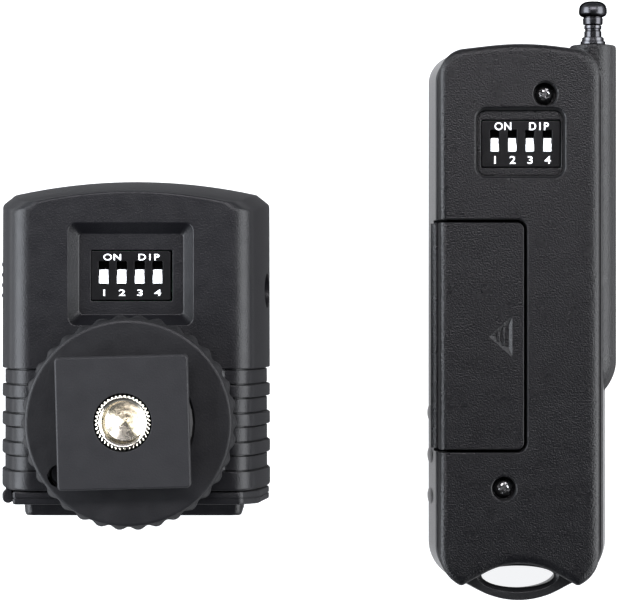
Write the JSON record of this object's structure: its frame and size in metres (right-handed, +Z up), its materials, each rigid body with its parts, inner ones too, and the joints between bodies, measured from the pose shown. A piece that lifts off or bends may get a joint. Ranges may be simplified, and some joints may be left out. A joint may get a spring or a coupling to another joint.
{
  "type": "wireless flash trigger",
  "caption": "Wireless flash trigger pair: a shoe-mount receiver with a screw-up lock ring and a slim hand transmitter with a telescopic antenna, channel switches and a sliding battery cover.",
  "frame": {"origin": "on the table under the middle of the pair, at the bottom centre of the overall box", "axes": "+Z up out of both backs, +Y towards the antenna tip, +X from the receiver to the transmitter"},
  "size_m": [0.0898, 0.0881, 0.0345],
  "materials": {
    "black_matte_plastic": "fine matte grain",
    "black_satin_plastic": "smooth satin",
    "charcoal_plastic": "fine leather-like grain",
    "white_plastic": "satin",
    "pale_brass": "bright turned",
    "bright_steel": "bright plated",
    "black_steel": "black plated",
    "black_chrome": "polished black nickel",
    "green_board": "solder mask",
    "black_chip": "moulded",
    "copper_wire": "enamelled copper",
    "red_lens": "clear red",
    "battery_case": "printed wrap",
    "black_rubber": "matte"
  },
  "bodies": {
    "receiver": {"receiver_front_shell": "black_matte_plastic", "receiver_back_shell": "black_matte_plastic", "door_hinge_pin": "bright_steel", "shoe_foot": "black_satin_plastic", "foot_screw_1": "bright_steel", "foot_screw_2": "bright_steel", "foot_screw_3": "bright_steel", "foot_screw_4": "bright_steel", "tripod_insert": "pale_brass", "receiver_dip_housing": "black_matte_plastic", "receiver_circuit_board": "green_board", "receiver_radio_chip": "black_chip", "receiver_coil_antenna": "copper_wire", "receiver_status_led": "red_lens", "receiver_battery": "battery_case", "receiver_battery_spring": "bright_steel", "receiver_battery_contact": "bright_steel", "sync_socket": "black_matte_plastic", "power_switch_body": "bright_steel", "receiver_case_screw_1": "black_steel", "receiver_case_screw_2": "black_steel"},
    "battery_door": {"receiver_battery_door": "black_matte_plastic"},
    "ring_washer": {"lock_washer": "black_rubber"},
    "clamp_ring": {"lock_ring": "black_satin_plastic"},
    "power_knob": {"power_switch_knob": "black_satin_plastic"},
    "receiver_dip_1": {"receiver_dip_slider_1": "white_plastic"},
    "receiver_dip_2": {"receiver_dip_slider_2": "white_plastic"},
    "receiver_dip_3": {"receiver_dip_slider_3": "white_plastic"},
    "receiver_dip_4": {"receiver_dip_slider_4": "white_plastic"},
    "transmitter": {"transmitter_front_shell": "charcoal_plastic", "transmitter_back_shell": "charcoal_plastic", "transmitter_circuit_board": "green_board", "transmitter_radio_chip": "black_chip", "saw_resonator": "bright_steel", "trigger_tact_switch": "black_chip", "transmitter_led": "red_lens", "transmitter_battery": "battery_case", "transmitter_battery_spring": "bright_steel", "transmitter_battery_contact": "bright_steel", "transmitter_case_screw_1": "black_steel", "transmitter_case_screw_2": "black_steel", "transmitter_dip_housing": "black_matte_plastic", "antenna_base_tube": "black_chrome", "antenna_ferrule": "black_chrome"},
    "transmitter_dip_1": {"transmitter_dip_slider_1": "white_plastic"},
    "transmitter_dip_2": {"transmitter_dip_slider_2": "white_plastic"},
    "transmitter_dip_3": {"transmitter_dip_slider_3": "white_plastic"},
    "transmitter_dip_4": {"transmitter_dip_slider_4": "white_plastic"},
    "cover": {"battery_cover": "charcoal_plastic"},
    "button": {"trigger_button": "black_satin_plastic"},
    "antenna_1": {"antenna_section_1": "black_chrome"},
    "antenna_2": {"antenna_section_2": "black_chrome"},
    "antenna_3": {"antenna_tip": "black_chrome"}
  },
  "joints": [
    {"name": "battery_door_hinge", "type": "hinge", "parent": "receiver", "child": "battery_door", "pos_m": [-0.0434, -0.0279, 0.0105], "axis": [0, 0, 1], "range_deg": [-100, 0]},
    {"name": "ring_travel", "type": "slide", "parent": "receiver", "child": "ring_washer", "axis": [0, 0, 1], "range_m": [0, 0.0022]},
    {"name": "ring_turn", "type": "hinge", "parent": "ring_washer", "child": "clamp_ring", "pos_m": [-0.0254, -0.017, 0.025], "axis": [0, 0, 1], "range_deg": [0, 720]},
    {"name": "power_switch_slide", "type": "slide", "parent": "receiver", "child": "power_knob", "axis": [0, -1, 0], "range_m": [0, 0.0022]},
    {"name": "receiver_dip_slide_1", "type": "slide", "parent": "receiver", "child": "receiver_dip_1", "axis": [0, 1, 0], "range_m": [0, 0.0011]},
    {"name": "receiver_dip_slide_2", "type": "slide", "parent": "receiver", "child": "receiver_dip_2", "axis": [0, 1, 0], "range_m": [0, 0.0011]},
    {"name": "receiver_dip_slide_3", "type": "slide", "parent": "receiver", "child": "receiver_dip_3", "axis": [0, 1, 0], "range_m": [0, 0.0011]},
    {"name": "receiver_dip_slide_4", "type": "slide", "parent": "receiver", "child": "receiver_dip_4", "axis": [0, 1, 0], "range_m": [0, 0.0011]},
    {"name": "transmitter_lift", "type": "slide", "parent": "receiver", "child": "transmitter", "axis": [0, 0, 1], "range_m": [0, 0.08]},
    {"name": "transmitter_dip_slide_1", "type": "slide", "parent": "transmitter", "child": "transmitter_dip_1", "axis": [0, 1, 0], "range_m": [0, 0.0011]},
    {"name": "transmitter_dip_slide_2", "type": "slide", "parent": "transmitter", "child": "transmitter_dip_2", "axis": [0, 1, 0], "range_m": [0, 0.0011]},
    {"name": "transmitter_dip_slide_3", "type": "slide", "parent": "transmitter", "child": "transmitter_dip_3", "axis": [0, 1, 0], "range_m": [0, 0.0011]},
    {"name": "transmitter_dip_slide_4", "type": "slide", "parent": "transmitter", "child": "transmitter_dip_4", "axis": [0, 1, 0], "range_m": [0, 0.0011]},
    {"name": "battery_cover_slide", "type": "slide", "parent": "transmitter", "child": "cover", "axis": [-1, 0, 0], "range_m": [0, 0.014]},
    {"name": "trigger_button_press", "type": "slide", "parent": "transmitter", "child": "button", "axis": [0, 0, 1], "range_m": [0, 0.0004], "stiffness_N_per_m": 500, "springref_m": -0.001},
    {"name": "antenna_slide_1", "type": "slide", "parent": "transmitter", "child": "antenna_1", "axis": [0, 1, 0], "range_m": [0, 0.038]},
    {"name": "antenna_slide_2", "type": "slide", "parent": "antenna_1", "child": "antenna_2", "axis": [0, 1, 0], "range_m": [0, 0.038]},
    {"name": "antenna_slide_3", "type": "slide", "parent": "antenna_2", "child": "antenna_3", "axis": [0, 1, 0], "range_m": [0, 0.038]}
  ],
  "couplings": [
    {"joint": "ring_travel", "follows": "ring_turn", "m_per_rad": 0.00017507}
  ]
}
